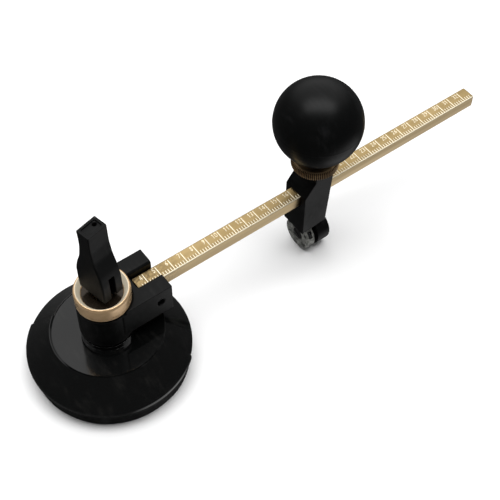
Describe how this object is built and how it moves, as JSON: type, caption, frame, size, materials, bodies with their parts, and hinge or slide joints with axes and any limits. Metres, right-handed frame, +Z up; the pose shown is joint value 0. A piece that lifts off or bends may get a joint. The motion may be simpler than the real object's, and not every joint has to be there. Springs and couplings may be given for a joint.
{
  "type": "glass circle cutter",
  "caption": "Suction-base circular glass cutter: swivelling fork arm, hinged square scale bar, sliding head with ball knob and wheel turret, and a flip lever for the cup.",
  "frame": {"origin": "centre of the suction face, on the surface that the cutter stands on", "axes": "+Z up along the swivel axis; +X along the bar, from the base towards the cutting head"},
  "size_m": [0.1884, 0.0557, 0.0768],
  "materials": {
    "black_plastic": "satin moulded black",
    "gloss_black": "glossy black",
    "rubber": "matt black rubber",
    "polished_brass": "polished, slightly pink",
    "knurled_brass": "knurled, dull",
    "scale_brass": "fine grained, engraved scale",
    "steel": "plain turned",
    "worn_steel": "worn, dull grey",
    "wheel_steel": "ground",
    "nylon": "natural nylon"
  },
  "bodies": {
    "root": {"base_housing": "black_plastic", "suction_cup": "rubber", "thrust_washer": "nylon", "retaining_cup": "polished_brass"},
    "stud": {"pull_stud": "steel", "cup_insert": "steel"},
    "lever": {"lever": "black_plastic", "lever_pin": "steel"},
    "arm": {"swivel_arm": "black_plastic", "friction_washer": "steel", "pivot_pin": "steel"},
    "bar": {"bar": "scale_brass"},
    "head": {"head_block": "black_plastic", "turret_screw": "steel", "turret_washer": "steel"},
    "clamp_pad": {"clamp_pad": "nylon"},
    "clamp_screw": {"clamp_screw": "knurled_brass", "knob_spindle": "steel", "spindle_clip": "steel"},
    "knob": {"ball_knob": "gloss_black", "knob_bush": "nylon"},
    "turret": {"turret": "worn_steel", "wheel_pin_1": "steel", "wheel_pin_2": "steel", "wheel_pin_3": "steel", "wheel_pin_4": "steel", "wheel_pin_5": "steel", "wheel_pin_6": "steel"},
    "wheel_1": {"wheel_1": "wheel_steel"},
    "wheel_2": {"wheel_2": "wheel_steel"},
    "wheel_3": {"wheel_3": "wheel_steel"},
    "wheel_4": {"wheel_4": "wheel_steel"},
    "wheel_5": {"wheel_5": "wheel_steel"},
    "wheel_6": {"wheel_6": "wheel_steel"}
  },
  "joints": [
    {"name": "stud_lift", "type": "slide", "parent": "root", "child": "stud", "axis": [0, 0, 1], "range_m": [0, 0.00181], "deforming": ["suction_cup"]},
    {"name": "lever_flip", "type": "hinge", "parent": "stud", "child": "lever", "pos_m": [0, 0, 0.0445], "axis": [0.9763, 0.2164, 0], "range_deg": [0, 90]},
    {"name": "arm_swivel", "type": "hinge", "parent": "root", "child": "arm", "pos_m": [0, 0, 0.027], "axis": [0, 0, 1], "continuous": true},
    {"name": "bar_tilt", "type": "hinge", "parent": "arm", "child": "bar", "pos_m": [0.0157, 0, 0.029], "axis": [0, -1, 0], "range_deg": [-3, 20]},
    {"name": "head_slide", "type": "slide", "parent": "bar", "child": "head", "axis": [1, 0, 0], "range_m": [-0.044, 0.066]},
    {"name": "clamp_lift", "type": "slide", "parent": "head", "child": "clamp_pad", "axis": [0, 0, 1], "range_m": [0, 0.00161]},
    {"name": "clamp_turn", "type": "hinge", "parent": "clamp_pad", "child": "clamp_screw", "pos_m": [0.0857, 0, 0.037], "axis": [0, 0, 1], "range_deg": [0, 720]},
    {"name": "knob_spin", "type": "hinge", "parent": "clamp_screw", "child": "knob", "pos_m": [0.0857, 0, 0.0616], "axis": [0, 0, 1], "continuous": true},
    {"name": "turret_index", "type": "hinge", "parent": "head", "child": "turret", "pos_m": [0.08175, 0, 0.00645], "axis": [1, 0, 0], "continuous": true},
    {"name": "wheel_spin_1", "type": "hinge", "parent": "turret", "child": "wheel_1", "pos_m": [0.08175, 0, 0.0014], "axis": [1, 0, 0], "continuous": true},
    {"name": "wheel_spin_2", "type": "hinge", "parent": "turret", "child": "wheel_2", "pos_m": [0.08175, 0.00437, 0.00392], "axis": [1, 0, 0], "continuous": true},
    {"name": "wheel_spin_3", "type": "hinge", "parent": "turret", "child": "wheel_3", "pos_m": [0.08175, 0.00437, 0.00898], "axis": [1, 0, 0], "continuous": true},
    {"name": "wheel_spin_4", "type": "hinge", "parent": "turret", "child": "wheel_4", "pos_m": [0.08175, 0, 0.0115], "axis": [1, 0, 0], "continuous": true},
    {"name": "wheel_spin_5", "type": "hinge", "parent": "turret", "child": "wheel_5", "pos_m": [0.08175, -0.00437, 0.00898], "axis": [1, 0, 0], "continuous": true},
    {"name": "wheel_spin_6", "type": "hinge", "parent": "turret", "child": "wheel_6", "pos_m": [0.08175, -0.00437, 0.00392], "axis": [1, 0, 0], "continuous": true}
  ],
  "couplings": [
    {"joint": "stud_lift", "follows": "lever_flip", "m_per_rad": 0.0011459},
    {"joint": "clamp_lift", "follows": "clamp_turn", "m_per_rad": 0.00012732}
  ]
}
